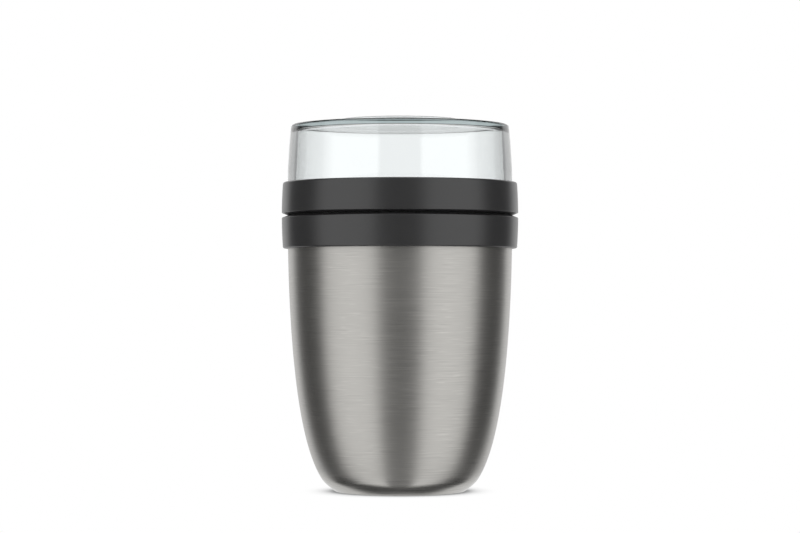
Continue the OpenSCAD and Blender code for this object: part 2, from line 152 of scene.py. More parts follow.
def degrees(name, value, description):
    """Setting for an angle, given in degrees."""
    return FloatProperty(name=name, description=description, default=math.radians(value),
                         unit="ROTATION", subtype="ANGLE")


def tint(name, rgb, description):
    """Setting for a colour."""
    return FloatVectorProperty(name=name, description=description, default=rgb,
                               size=3, min=0, max=1, subtype="COLOR")


class FOODPOT_PG_body(PropertyGroup):
    """Sizes of the steel pot"""
    pot_d: length("Diameter", 101.4, "Widest outside diameter of the steel body")
    nose_drop: length("Nose drop", 4.9, "How far below the table the curve's nose would lie")
    shell_t: length("Outer sheet", 0.6, "Thickness of the outer steel sheet")
    liner_t: length("Liner sheet", 0.5, "Thickness of the steel liner")
    vacuum_gap: length("Vacuum gap", 4.4, "Empty space between the two steel walls")
    liner_turn_z: length("Liner turn", 18, "Height at which the liner turns into its floor")
    liner_floor_z: length("Liner floor", 9.5, "Height of the top of the liner's floor")
    liner_corner_w: length("Liner corner", 14, "Width of the liner's rounded corner")
    neck_step: length("Neck step", 1.7, "Step inwards from the body to the threaded neck")
    shoulder_cover: length("Shoulder cover", 2.3, "How far the collars reach past the shoulder")
    shoulder_h: length("Shoulder slope", 0.9, "Height of the slope from shoulder to neck")
    shoulder_edge_r: length("Shoulder edge", 0.9, "Radius of the shoulder's edge")
    rim_edge_r: length("Rim edge", 1, "Radius of the rolled edge of the rim")
    heel_h: length("Heel height", 5.5, "Height at which the wall starts to turn into the heel")
    heel_turn_z: length("Heel bend", 3.1, "Height at which the heel bends most")
    foot_r: length("Foot radius", 29.2, "Outside radius of the ring that the pot stands on")
    foot_w: length("Foot width", 1.8, "Width of that ring")
    foot_edge_r: length("Foot edge", 0.6, "Radius of that ring's outer edge")
    sheet_edge_r: length("Sheet edge", 0.3, "Radius of the small edges of sheet and seals")


class FOODPOT_PG_base(PropertyGroup):
    """Sizes of the discs under the pot"""
    recess_h: length("Recess", 2.6, "Depth of the recess under the pot")
    plate_t: length("Plate", 0.6, "Thickness of the welded base plate")
    dimple_r: length("Dimple radius", 7, "Radius of the dimple in the base plate")
    dimple_h: length("Dimple height", 1.4, "Height of the dimple")
    dimple_slope_w: length("Dimple slope", 0.8, "Width of the dimple's sloping side")
    hole_r: length("Hole radius", 1.2, "Radius of the hole that the solder closes")
    cover_t: length("Cover", 0.9, "Thickness of the disc over the dimple")
    cover_dish_r: length("Dish radius", 18, "Radius of the shallow dish in the cover")
    cover_dish_h: length("Dish depth", 0.25, "Depth of the shallow dish in the cover")
    cover_gap: length("Cover gap", 0.4, "Gap between the cover and the foot")


class FOODPOT_PG_lids(PropertyGroup):
    """Sizes of the two screw lids"""
    collar_out: length("Collar", 2.7, "How far the collars stand out from the body")
    collar_h: length("Collar height", 13.8, "Height of each collar")
    collar_arc_r: length("Collar curve", 208, "Radius of the collars' shallow curve")
    groove_w: length("Groove width", 2.2, "Opening of the groove between the collars")
    groove_depth: length("Groove depth", 2.2, "Depth of the groove between the collars")
    lip_edge_r: length("Lip edge", 0.4, "Radius of the collars' edges at the groove")
    collar_edge_r: length("Collar edge", 0.9, "Radius of the collars' far edges")
    lid_t: length("Wall", 2, "Thickness of the lids' plastic")
    face_gap: length("Face gap", 0.5, "Gap between the flat faces of the lids")
    skirt_gap: length("Skirt gap", 0.35, "Gap between a collar and what it covers")
    inside_r: length("Inside radius", 0.6, "Radius inside the corners of the lids")
    boss_inset: length("Boss inset", 12.7, "How far the boss is set in from the plug")
    boss_h: length("Boss height", 6.2, "Height of the boss above the joint")
    boss_gap: length("Boss gap", 2.2, "Gap between boss and recess at the side")
    boss_top_gap: length("Boss top gap", 0.5, "Gap between boss and recess at the top")
    plug_gap: length("Plug gap", 1, "Gap between the plug and the liner")
    plug_s: length("Plug depth", 16.7, "Distance from the joint to the plug's bottom")
    plug_t: length("Plug wall", 1.6, "Thickness of the plug's wall")
    plug_floor_t: length("Plug floor", 1.8, "Thickness of the plug's floor")
    plug_edge_r: length("Plug edge", 1.5, "Radius of the plug's lower edge")
    rib_h: length("Rib height", 3.2, "Height of the rib inside the cup's seal")
    rib_t: length("Rib", 1.6, "Thickness of that rib")


class FOODPOT_PG_threads(PropertyGroup):
    """Sizes of the screw threads"""
    lead: length("Lead", 16, "Rise in one full turn")
    starts: IntProperty(name="Starts", description="Number of thread starts", default=4, min=1)
    ridge_foot_w: length("Ridge foot", 2.2, "Width of a ridge at its foot")
    ridge_crest_w: length("Ridge crest", 1, "Width of a ridge at its crest")
    crest_gap: length("Crest gap", 0.6, "Gap between a crest and the wall across from it")
    ridge_span: degrees("Ridge span", 100, "Turn that a ridge of the lids' threads covers")
    link_span: degrees("Link span", 70, "Turn that a ridge of the quick thread covers")
    run_out: degrees("Run-out", 15, "Turn over which the end of a ridge fades out")


class FOODPOT_PG_cup(PropertyGroup):
    """Sizes of the clear cup"""
    cup_top_s: length("Closed end", 40.9, "Height of the closed end above the joint")
    cup_straight_h: length("Straight part", 0.6, "Straight part of the side above the shoulder")
    cup_arc_r: length("Side curve", 240, "Radius of the curve of the side")
    cup_t: length("Wall", 3.6, "Thickness of the cup's wall at its mouth")
    cup_top_t: length("Upper wall", 3.35, "Thickness of the cup's wall at its closed end")
    cup_taper_s: length("Taper", 18.9, "Height above the joint where the inside starts to taper")
    cup_end_t: length("End wall", 2.5, "Thickness of the closed end")
    cup_foot_r: length("Foot ring", 28, "Radius of the ring that the cup stands on, mouth up")
    cup_foot_w: length("Foot ring width", 2.6, "Width of that ring")
    cup_foot_h: length("Foot ring height", 2.3, "Height of that ring above the closed end")
    cup_foot_edge_r: length("Foot ring edge", 0.8, "Radius of that ring's edges")
    cup_edge_r: length("Outer edge", 1.2, "Radius of the outer edge")
    cup_corner_r: length("Inner corner", 1.7, "Radius of the inner corner")
    mouth_edge_r: length("Mouth edge", 0.5, "Radius of the edges of the mouth")


class FOODPOT_PG_seals(PropertyGroup):
    """Sizes of the seals and of the ring in the groove"""
    seal_t: length("Seal", 1.45, "Thickness of the seals")
    seal_gap: length("Seal gap", 0.3, "Gap between a seal and the faces that press on it")
    seal_side_gap: length("Side gap", 0.3, "Gap between a seal and what it lies round")
    seal_lip_w: length("Lip width", 1.3, "Width of each of a seal's two lips")
    seal_channel_h: length("Channel", 0.45, "Depth of the channel between the lips")
    pocket_inset: length("Pocket inset", 0.7, "Distance from the groove to the ring's pockets")
    pocket_w: length("Pocket width", 4, "Width of the pockets")
    pocket_h: length("Pocket depth", 0.5, "Depth of each pocket")
    ring_gap: length("Ring gap", 0.3, "Gap between the ring and its pockets")


class FOODPOT_PG_finishes(PropertyGroup):
    """Colours and grain of the materials"""
    steel: tint("Steel", (0.525, 0.514, 0.49), "Colour of the brushed wall")
    liner: tint("Liner", (0.64, 0.635, 0.62), "Colour of the liner and the rim")
    lid: tint("Lids", (0.036, 0.036, 0.037), "Colour of the lids' plastic")
    plug: tint("Plug", (0.05, 0.05, 0.052), "Colour of the plug's plastic")
    seal: tint("Seals", (0.03, 0.03, 0.031), "Colour of the seals")
    # The ring's near-black is partly its own dark rubber and partly painted shade for the deep groove
    # between the collars
    ring: tint("Ring", (0.008, 0.008, 0.008), "Colour of the ring in the groove")
    clear: tint("Clear plastic", (0.83, 0.975, 0.99), "What is left of light in a decimetre of plastic")
    clear_face: tint("Clear faces", (0.986, 0.999, 1.0), "What a face of the plastic lets through")
    clear_haze: share("Clear haze", 0.012, "Greatest roughness of the clear plastic")
    steel_roughness: share("Steel roughness", 0.4, "Roughness of the brushed wall")
    steel_stretch: share("Steel stretch", 0.6, "How far brushing stretches reflections upright")
    liner_roughness: share("Liner roughness", 0.32, "Roughness of the liner")
    liner_stretch: share("Liner stretch", 0.3, "How far the liner's grain stretches reflections")
    base_roughness: share("Base roughness", 0.34, "Roughness of the discs under the pot")
    base_stretch: share("Base stretch", 0.5, "How far turning the discs stretches reflections")
    lid_roughness: share("Lid roughness", 0.3, "Roughness of the lids' plastic")
    lid_gloss: share("Lid gloss", 0.75, "Strength of the reflections on the lids' plastic")
    plug_roughness: share("Plug roughness", 0.35, "Roughness of the plug's plastic")
    seal_roughness: share("Seal roughness", 0.62, "Roughness of the seals")
    ring_roughness: share("Ring roughness", 0.7, "Roughness of the ring in the groove")
    streak_l: length("Streak length", 14, "Length of the brush marks round the body")
    streak_w: length("Streak width", 0.5, "Width of the brush marks")
    grain_w: length("Moulded grain", 0.16, "Width of the grain on moulded plastic")


class FOODPOT_PG_studio(PropertyGroup):
    """Camera and light"""
    camera_y: length("Camera distance", 1130, "Distance from the pot's axis to the camera")
    camera_z: length("Camera height", 85.3, "Height of the camera above the table")
    camera_tilt: degrees("Camera tilt", 0.81, "How far the camera looks up")
    camera_lens: FloatProperty(name="Focal length", description="Focal length in millimetres",
                               default=112.5, subtype="DISTANCE_CAMERA")
    floor_r: length("Floor radius", 3000, "Radius of the floor")
    floor_gap: length("Floor gap", 0.05, "How far below the pot's foot the floor lies")
    front: level("Front", 0.19, "Brightness of the room round the camera")
    box: level("Soft boxes", 1.06, "Brightness of the soft boxes")
    gap: level("Gaps", 0.08, "Brightness between the soft boxes and the backdrop")
    backdrop: level("Backdrop", 0.95, "Brightness of the room behind the pot")
    edges: level("Edges", 0.52, "Brightness that the edges of clear plastic gather")
    near_walls: level("Near walls", 0.34, "Brightness behind that the cup's near walls mirror")
    far_walls: level("Far walls", 0.72, "Brightness behind that the cup's far walls mirror")
    overhead: level("Overhead", 0.9, "Brightness of the soft box overhead")
    behind: level("Table behind", 0.78, "Brightness of the table behind the pot")
    under: level("Under", 0.09, "Brightness of the table's shadow under the pot")
    floor_tone: level("Floor tone", 0.75, "Share of the light that the floor throws back")
    contact: level("Contact shadow", 0.15, "Brightness of the floor where the pot stands")
    contact_w: length("Contact width", 30, "How far from the pot that shadow can reach")
    box_from: degrees("Box from", 23, "Angle from the camera at which a soft box starts")
    box_to: degrees("Box to", 88, "Angle from the camera at which a soft box ends")


class FOODPOT_PG_settings(PropertyGroup):
    """All settings of the pot"""
    body: PointerProperty(type=FOODPOT_PG_body)
    base: PointerProperty(type=FOODPOT_PG_base)
    lids: PointerProperty(type=FOODPOT_PG_lids)
    threads: PointerProperty(type=FOODPOT_PG_threads)
    cup: PointerProperty(type=FOODPOT_PG_cup)
    seals: PointerProperty(type=FOODPOT_PG_seals)
    finishes: PointerProperty(type=FOODPOT_PG_finishes)
    studio: PointerProperty(type=FOODPOT_PG_studio)


class Shape:
    """The driving sizes of the pot and every level and radius that follows from them."""

    def __init__(self, settings):
        for group in (settings.body, settings.base, settings.lids, settings.threads,
                      settings.cup, settings.seals):
            for name in group.__annotations__:
                setattr(self, name, getattr(group, name))
        self.pot_r = self.pot_d / 2
        self.body_reach = JOINT_Z + self.nose_drop
        self.neck_r = self.pot_r - self.neck_step
        self.face_s = self.face_gap / 2
        self.deck_s = self.face_s + self.lid_t
        self.rim_s = self.deck_s + self.seal_t + 2 * self.seal_gap
        self.pocket_s = self.face_s + self.pocket_h
        self.collar_near_s = self.groove_w / 2
        self.collar_far_s = self.collar_near_s + self.collar_h
        self.shoulder_s = self.collar_far_s - self.shoulder_cover
        self.thread_s = (self.rim_s + self.liner_t + self.shoulder_s - self.shoulder_h) / 2
        self.link_s = self.boss_h / 2
        self.cup_bulge_s = self.shoulder_s + self.cup_straight_h
        self.boss_recess_s = self.boss_h + self.boss_top_gap
        self.rim_z = JOINT_Z - self.rim_s
        self.shoulder_z = JOINT_Z - self.shoulder_s
        self.wall_top_z = self.shoulder_z - self.shoulder_edge_r - self.sheet_edge_r
        self.liner_out_depth = self.shell_t + self.vacuum_gap
        self.liner_in_depth = self.liner_out_depth + self.liner_t
        self.mouth_r = self.wall_point(self.rim_z, self.liner_in_depth)[0]
        self.foot_in_r = self.foot_r - self.foot_w
        self.groove_r = self.pot_r + self.collar_out - self.groove_depth
        self.skirt_r = self.pot_r + self.skirt_gap
        self.plug_r = self.mouth_r - self.plug_gap
        self.boss_r = self.plug_r - self.boss_inset
        self.boss_recess_r = self.boss_r + self.boss_gap
        self.seal_in_r = self.plug_r + self.seal_side_gap
        self.seal_out_r = self.neck_r - self.seal_gap
        self.pocket_out_r = self.groove_r - self.pocket_inset
        self.pocket_in_r = self.pocket_out_r - self.pocket_w

    def body_r(self, z):
        """Radius of the body: an egg shape, widest at the joint, whose nose is cut off by
        the floor. With u the share of the way down from the joint to the nose, the radius
        is the widest one times (1 - u to the curve power) to one over the corner power."""
        u = (JOINT_Z - z) / self.body_reach
        return self.pot_r * (1 - u ** CURVE_POWER) ** (1 / CORNER_POWER)

    def body_slope(self, z):
        """Growth of that radius for each unit of height."""
        u = (JOINT_Z - z) / self.body_reach
        growth = self.pot_r * CURVE_POWER / (CORNER_POWER * self.body_reach)
        inside = 1 - u ** CURVE_POWER
        return growth * u ** (CURVE_POWER - 1) * inside ** (1 / CORNER_POWER - 1)

    def wall_point(self, z, depth):
        """Points of the body's curve at the levels z, moved inwards by a depth square to it."""
        slope = self.body_slope(z)
        scale = depth / np.sqrt(1 + slope ** 2)
        return np.stack([self.body_r(z) - scale, z + slope * scale], axis=-1)

    def wall(self, low, high, depth, steps):
        """Points of the wall above low, up to high, closer together near low."""
        along = (np.arange(1, steps + 1) / steps) ** BUNCHING_POWER
        return self.wall_point(low + (high - low) * along, depth)

    def wall_corner(self, z, depth, floor_z):
        """Point where the wall's line, carried on straight from z, meets a level."""
        r, height = self.wall_point(z, depth)
        return np.array([r - self.body_slope(z) * (height - floor_z), floor_z])

    def heel_corner(self, depth, floor_z):
        """Corner between the foot and the wall, before the heel rounds it."""
        return self.wall_corner(self.heel_h, depth, floor_z)

    def collar_r(self, s):
        """Side of both collars: a shallow arc, widest at the joint."""
        return self.pot_r + self.collar_out - s ** 2 / (2 * self.collar_arc_r)

    def cup_r(self, s):
        """Side of the cup: upright behind its collar, then a shallow arc."""
        return self.pot_r - np.maximum(0, s - self.cup_bulge_s) ** 2 / (2 * self.cup_arc_r)

    def lid_side(self):
        """Corners that both lids share, from the ring's pocket round the collar to the deck."""
        last_s = self.collar_far_s - ARC_ROOM * self.collar_edge_r
        s = np.linspace(self.collar_near_s, last_s, COLLAR_STEPS + 1)[1:]
        near_r, far_r = self.collar_r(self.collar_near_s), self.collar_r(self.collar_far_s)
        return joined(
            [(self.pocket_in_r, self.face_s), (self.pocket_in_r, self.pocket_s),
             (self.pocket_out_r, self.pocket_s), (self.pocket_out_r, self.face_s),
             (self.groove_r, self.face_s), (near_r, self.collar_near_s, self.lip_edge_r)],
            np.column_stack([self.collar_r(s), s]),
            [(far_r, self.collar_far_s, self.collar_edge_r),
             (self.skirt_r, self.collar_far_s, self.sheet_edge_r),
             (self.skirt_r, self.deck_s, self.inside_r)])

    def threads(self, inner_r, outer_r, middle_z, span):
        """Ridges on the inner and on the outer of two walls that screw together. Their crests
        end a gap short of the other wall, and they lie half a pitch away from each other."""
        height = outer_r - self.crest_gap - inner_r
        return (Ridges(self, inner_r, height, middle_z, span, 0),
                Ridges(self, outer_r, -height, middle_z, span, math.pi / self.starts))

    def lid_threads(self, middle_z):
        """Ridges on a neck and in the bore of the skirt that screws onto it."""
        return self.threads(self.neck_r, self.skirt_r, middle_z, self.ridge_span)

    def link_threads(self):
        """Ridges on the boss of the pot's lid and in the recess of the cup's lid."""
        return self.threads(self.boss_r, self.boss_recess_r, JOINT_Z + self.link_s, self.link_span)


def soft_step(t):
    """Smooth rise from 0 to 1 as t does the same: 3 t squared minus 2 t cubed."""
    t = np.clip(t, 0, 1)
    return t * t * (3 - 2 * t)


class Ridges:
    """The ridges of one right-hand thread, as a relief on the upright wall that carries them."""

    def __init__(self, shape, wall_r, height, middle_z, span, turn):
        self.shape, self.wall_r, self.height = shape, wall_r, height
        self.middle_z, self.span, self.turn = middle_z, span, turn

    def relief(self, points, angle):
        """How far each row and column stands out. A ridge follows the helix whose level is
        the middle plus the lead times the turn from the ridge's centre. Its flanks fall
        softly from crest to foot, its ends over the run-out, and rows off the wall keep 0."""
        sizes = self.shape
        pitch = 2 * math.pi / sizes.starts
        turns = angle[None, :, None] - self.turn - pitch * np.arange(sizes.starts)
        turns = (turns + math.pi) % (2 * math.pi) - math.pi
        helix_z = self.middle_z + sizes.lead * turns / (2 * math.pi)
        away = np.abs(points[:, 1, None, None] - helix_z)
        flank_w = (sizes.ridge_foot_w - sizes.ridge_crest_w) / 2
        flank = soft_step((sizes.ridge_foot_w / 2 - away) / flank_w)
        ends = soft_step((self.span / 2 - np.abs(turns)) / sizes.run_out)
        on_wall = np.isclose(points[:, 0], self.wall_r, rtol=0, atol=NEARLY_0)
        return self.height * (flank * ends).max(axis=2) * on_wall[:, None]


def joined(*stretches):
    """Corners of several stretches in one array, each [r, z, edge radius], radius 0 if not given."""
    return np.concatenate([
        np.array([(*corner, 0.0)[:3] for corner in stretch], float) for stretch in stretches])


def bend(a, b, c):
    """Bend that leaves a towards b and arrives at c from b: a quadratic curve between them."""
    t = np.linspace(0, 1, BEND_STEPS + 1)[:, None]
    return (1 - t) ** 2 * a + 2 * t * (1 - t) * b + t ** 2 * c


def below_joint(corners):
    """Corners whose levels are measured downwards from the joint."""
    return corners * [1, -1, 1] + [0, JOINT_Z, 0]


def above_joint(corners):
    """Corners whose levels are measured upwards from the joint."""
    return corners + [0, JOINT_Z, 0]


def stretched(points, counts, shares):
    """Repeats each point counts times and moves the copies towards the next point: copy k of
    point i by shares(i, k) of the way."""
    which = np.repeat(np.arange(len(points)), counts)
    copy = np.arange(len(which)) - (np.cumsum(counts) - counts)[which]
    onwards = np.roll(points, -1, axis=0) - points
    return points[which] + onwards[which] * shares(which, copy)[:, None]


def outline(corners, walls):
    """Outline of a turned piece. Each corner that has an edge radius becomes an arc of that
    radius, touching both sides. A long straight stretch that ends in a bend gets a point close
    to each end, and an upright stretch at one of the walls' radii gets rows all the way."""
    p, edge_r = corners[:, :2], corners[:, 2]
    back, onwards = np.roll(p, 1, axis=0) - p, np.roll(p, -1, axis=0) - p
    back_l, onwards_l = np.linalg.norm(back, axis=1), np.linalg.norm(onwards, axis=1)
    u, v = back / back_l[:, None], onwards / onwards_l[:, None]
    half = np.arccos(np.clip((u * v).sum(axis=1), -1, 1)) / 2
    reach = np.minimum(edge_r / np.tan(half), np.minimum(back_l, onwards_l) / 2)
    arc_r = reach * np.tan(half)
    sharp = edge_r == 0
    inwards = (u + v) / np.where(sharp, 1, np.linalg.norm(u + v, axis=1))[:, None]
    middle = p + inwards * (arc_r / np.sin(half))[:, None]
    first, last = p + reach[:, None] * u - middle, p + reach[:, None] * v - middle
    start = np.arctan2(first[:, 1], first[:, 0])
    sweep = np.arctan2(last[:, 1], last[:, 0]) - start
    sweep = (sweep + 3 * math.pi) % (2 * math.pi) - math.pi
    counts = np.where(sharp, 1, EDGE_STEPS + 1)
    which = np.repeat(np.arange(len(p)), counts)
    step = np.arange(len(which)) - (np.cumsum(counts) - counts)[which]
    turn = start[which] + sweep[which] * step / EDGE_STEPS
    ray = np.column_stack([np.cos(turn), np.sin(turn)])
    points = middle[which] + arc_r[which, None] * ray

    onwards = np.roll(points, -1, axis=0) - points
    lengths = np.linalg.norm(onwards, axis=1)
    ahead = np.arctan2(onwards[:, 1], onwards[:, 0])
    bent = np.abs((ahead - np.roll(ahead, 1) + math.pi) % (2 * math.pi) - math.pi) > HOLD_TURN
    off_axis = np.maximum(points[:, 0], points[:, 0] + onwards[:, 0]) > HOLD
    counts = np.where((lengths > 4 * HOLD) & off_axis & (bent | np.roll(bent, -1)), 3, 1)
    near = HOLD / lengths
    points = stretched(points, counts, lambda i, k: np.choose(k, [0 * near[i], near[i], 1 - near[i]]))

    after = np.roll(points, -1, axis=0)
    lengths = np.linalg.norm(after - points, axis=1)
    on_wall = [np.isclose(points[:, 0], r) & np.isclose(after[:, 0], r) for r in walls]
    upright = np.any(on_wall, axis=0) if walls else np.zeros(len(points), bool)
    counts = np.where(upright, np.ceil(lengths / THREAD_ROW).astype(int), 1)
    return stretched(points, counts, lambda i, k: k / counts[i])


def turned(points, columns, threads):
    """Surface of revolution, as vertices and faces. A row is a point (r, z) of the outline and
    a column an angle a, and their vertex is (r cos a, r sin a, z), with the relief of the
    threads added to r. The outline is taken anticlockwise, so that faces point outwards. A
    row on the axis is one vertex, and an outline that leaves the axis is closed to a loop."""
    r, z = points.T
    if (r * np.roll(z, -1) - np.roll(r, -1) * z).sum() < 0:
        points = points[::-1]
    angle = 2 * math.pi * np.arange(columns) / columns
    radius = np.repeat(points[:, :1], columns, axis=1)
    for thread in threads:
        radius = radius + thread.relief(points, angle)
    levels = np.repeat(points[:, 1:], columns, axis=1)
    grid = np.stack([radius * np.cos(angle), radius * np.sin(angle), levels], axis=-1)
    ring = points[:, 0] > NEARLY_0
    kept = ring[:, None] | (np.arange(columns) == 0)
    width = np.where(ring, columns, 1)
    index = (np.cumsum(width) - width)[:, None] + np.arange(columns) * ring[:, None]
    low, high = index, np.roll(index, -1, axis=0)
    low_ring, high_ring = ring, np.roll(ring, -1)
    quads = np.stack([low, np.roll(low, -1, axis=1), np.roll(high, -1, axis=1), high], axis=-1)
    full = quads[low_ring & high_ring].reshape(-1, 4)
    from_pole = quads[~low_ring & high_ring][..., 1:].reshape(-1, 3)
    to_pole = quads[low_ring & ~high_ring][..., :3].reshape(-1, 3)
    return grid[kept], full.tolist() + from_pole.tolist() + to_pole.tolist()


def place_piece(name, corners, body, nodes, material, threads=(), columns=COLUMNS):
    """Turns a piece from its corners. It stands for the nodes and moves with the body."""
    points = outline(corners, [thread.wall_r for thread in threads])
    vertices, faces = turned(points, columns, threads)
    mesh = bpy.data.meshes.new(name)
    mesh.from_pydata(vertices, [], faces)
    mesh.shade_smooth()
    mesh.set_sharp_from_angle(angle=SHARP_ANGLE)
    mesh.materials.append(material)
    piece = bpy.data.objects.new(name, mesh)
    bpy.context.scene.collection.objects.link(piece)
    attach(piece, body)
    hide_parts(*nodes)


class Value:
    """A shader socket in plain sums: each operator adds the Math node that works it out."""

    def __init__(self, graph, socket):
        self.graph, self.socket = graph, socket

    def __add__(self, other):
        return self.graph.math("ADD", self, other)

    def __sub__(self, other):
        return self.graph.math("SUBTRACT", self, other)

    def __rsub__(self, other):
        return self.graph.math("SUBTRACT", other, self)

    def __mul__(self, other):
        return self.graph.math("MULTIPLY", self, other)

    def __truediv__(self, other):
        return self.graph.math("DIVIDE", self, other)

    def __neg__(self):
        return self.graph.math("MULTIPLY", self, -1)

    __radd__ = __add__
    __rmul__ = __mul__


class Graph:
    """The node tree of a material or a world, built from expressions."""

    def __init__(self, owner):
        owner.use_nodes = True
        self.tree = owner.node_tree
        self.tree.nodes.clear()

    def node(self, kind, inputs=None, **settings):
        """Adds a node. Its settings are set first, then its sockets, by name or by place, get
        their values or links. Gives its outputs by name."""
        made = self.tree.nodes.new("ShaderNode" + kind)
        for name, value in settings.items():
            setattr(made, name, value)
        sockets = [socket for socket in made.inputs if socket.enabled]
        by_name = {socket.name: socket for socket in reversed(sockets)}
        for key, value in (inputs or {}).items():
            socket = sockets[key] if isinstance(key, int) else by_name[key]
            if isinstance(value, Value):
                self.tree.links.new(value.socket, socket)
            elif socket.type == "RGBA" and len(value) == 3:
                socket.default_value = (*value, 1)
            else:
                socket.default_value = value
        return {socket.name: Value(self, socket) for socket in made.outputs if socket.enabled}

    def math(self, operation, *values):
        """One step of shader maths on these values."""
        return self.node("Math", dict(enumerate(values)), operation=operation)["Value"]

    def rise(self, value, low, high):
        """Smooth rise from 0 at low to 1 at high."""
        inputs = {"Value": value, "From Min": low, "From Max": high}
        return self.node("MapRange", inputs, interpolation_type="SMOOTHSTEP")["Result"]

    def towards(self, start, end, share):
        """The start where the share is 0, and the end where it is 1."""
        return start + share * (end - start)

    def mix(self, factor, a, b):
        """Colour a where the factor is 0, and b where it is 1."""
        inputs = {"Factor": factor, "A": a, "B": b}
        return self.node("Mix", inputs, data_type="RGBA")["Result"]

    def shades(self, factor, colour, dark, light):
        """The colour from this share of it, where the factor is 0, to that one, where it is 1."""
        return self.mix(factor, *(tuple(k * part for part in colour) for k in (dark, light)))

    def varied(self, middle, *changes):
        """A number round its middle. Each change is a noise round 0.5 and the range it covers."""
        start = middle - sum(size for noise, size in changes) / 2
        return sum(noise * size for noise, size in changes) + start

    def place(self):
        """Place on the piece, in metres."""
        return self.node("TexCoord")["Object"]

    def split(self, vector):
        """The X, Y and Z of a vector."""
        parts = self.node("SeparateXYZ", {"Vector": vector})
        return parts["X"], parts["Y"], parts["Z"]

    def scaled(self, vector, size):
        """The vector counted in this size, one number or one for each of X, Y and Z."""
        size = size if isinstance(size, tuple) else (size, size, size)
        return self.node("VectorMath", {0: vector, 1: size}, operation="DIVIDE")["Vector"]

    def grain(self, vector, size, detail=2.0):
        """Noise round 0.5 whose grain has this size."""
        inputs = {"Vector": self.scaled(vector, size), "Scale": 1.0, "Detail": detail}
        return self.node("TexNoise", inputs)["Fac"]

    def bump(self, height, depth):
        """Normal of a relief whose height runs from 0 to 1 over this depth."""
        return self.node("Bump", {"Height": height, "Distance": depth, "Strength": 1.0})["Normal"]

    def surface(self, inputs, volume=None):
        """Ends a material in the main shader, with these sockets."""
        shader = self.node("BsdfPrincipled", inputs)["BSDF"]
        ends = {"Surface": shader}
        if volume:
            ends["Volume"] = volume
        self.node("OutputMaterial", ends)


def material_graph(name):
    """A new material and its empty graph."""
    material = bpy.data.materials.new(name)
    return material, Graph(material)


def steel(name, colour, roughness, stretch, streak_l, streak_w, depth, below_z=None, heel_z=None):
    """Steel brushed round the axis. Streaks of one length and width darken and lighten it,
    change its gloss and stand in slight relief, under a broad cloudiness. Above the level
    below_z the streaks fade out, where the neck is only pressed, and below the level heel_z
    the steel grows smoother."""
    streak_tone, mark_tone, cloud_tone, middle_tone, heel_polish = 1.6, 0.2, 0.2, 0.38, 0.24
    material, graph = material_graph(name)
    place = graph.place()
    streaks = graph.grain(place, (streak_l, streak_l, streak_w), 1.0)
    hairs = graph.grain(place, (2.5 * streak_l, 2.5 * streak_l, streak_w / 2), 1.0)
    marks = graph.rise(graph.grain(place, (streak_l / 2, streak_l / 2, streak_w), 0.0), 0.62, 0.8)
    clouds = graph.grain(place, (3 * streak_l, 3 * streak_l, 2 * streak_l))
    patches = graph.grain(place, (streak_l, streak_l, streak_l / 3), 1.0)
    height = graph.split(place)[2]
    brushed, polish = 1.0, 0.0
    if below_z is not None:
        brushed = 1 - graph.rise(height, below_z, below_z + streak_w)
    if heel_z is not None:
        polish = graph.rise(height, 0.1 * heel_z, heel_z) * heel_polish - heel_polish
    relief = (streaks * 0.6 + hairs * 0.4 - 0.5) * brushed
    streaked = relief * graph.rise(patches, 0.3, 0.65) * streak_tone + marks * mark_tone * brushed
    graph.surface({
        "Base Color": graph.shades(streaked + clouds * cloud_tone + middle_tone, colour, 0.8, 1.2),
        "Metallic": 1.0,
        "Roughness": relief * 0.16 + polish + graph.varied(roughness, (clouds, 0.05)),
        "Anisotropic": stretch,
        "Anisotropic Rotation": ACROSS_BRUSHING,
        "Normal": graph.bump(relief + 0.5, depth),
    })
    return material


def turned_steel(name, colour, roughness, stretch):
    """Steel faced on a lathe: fine rings round the axis."""
    material, graph = material_graph(name)
    place = graph.place()
    x, y, z = graph.split(place)
    radius = graph.math("SQRT", x * x + y * y)
    along = graph.node("CombineXYZ", {"X": radius, "Y": 0.0, "Z": z})["Vector"]
    rings = graph.grain(along, (0.35 * MM, MM, 30 * MM), 3.0)
    clouds = graph.grain(place, 12 * MM)
    graph.surface({
        "Base Color": graph.shades(rings * 0.7 + clouds * 0.3, colour, 0.85, 1.1),
        "Metallic": 1.0,
        "Roughness": graph.varied(roughness, (rings, 0.12), (clouds, 0.06)),
        "Anisotropic": stretch,
        "Anisotropic Rotation": ACROSS_BRUSHING,
        "Normal": graph.bump(rings, TURNED_RELIEF),
    })
    return material


def moulded(name, colour, roughness, grain_w, depth, gloss=0.5):
    """Moulded plastic or rubber: a fine even grain, and gloss that changes softly over it."""
    cloud_grains = 80
    material, graph = material_graph(name)
    place = graph.place()
    grain = graph.grain(place, grain_w, 1.0)
    clouds = graph.grain(place, cloud_grains * grain_w)
    graph.surface({
        "Base Color": graph.shades(clouds * 0.6 + grain * 0.4, colour, 0.92, 1.08),
        "Roughness": graph.varied(roughness, (clouds, 0.06), (grain, 0.06)),
        "Specular IOR Level": gloss,
        "Normal": graph.bump(grain, depth),
    })
    return material


def clear_plastic(finishes):
    """Clear plastic whose thickness tints the light that goes through it. The tint is what is
    left of each colour after the tint depth, so the density is per metre and the colour is
    what the medium lets through of that density."""
    material, graph = material_graph("clear plastic")
    clouds = graph.grain(graph.place(), 9 * MM)
    losses = [-math.log(part) / TINT_DEPTH for part in finishes.clear]
    density = max(losses)
    passed = tuple(1 - loss / density for loss in losses)
    volume = graph.node("VolumeAbsorption", {"Color": passed, "Density": density})["Volume"]
    graph.surface({
        "Base Color": tuple(finishes.clear_face),
        "Roughness": graph.rise(clouds, 0.35, 0.75) * finishes.clear_haze,
        "IOR": 1.5,
        "Transmission Weight": 1.0,
    }, volume)
    return material


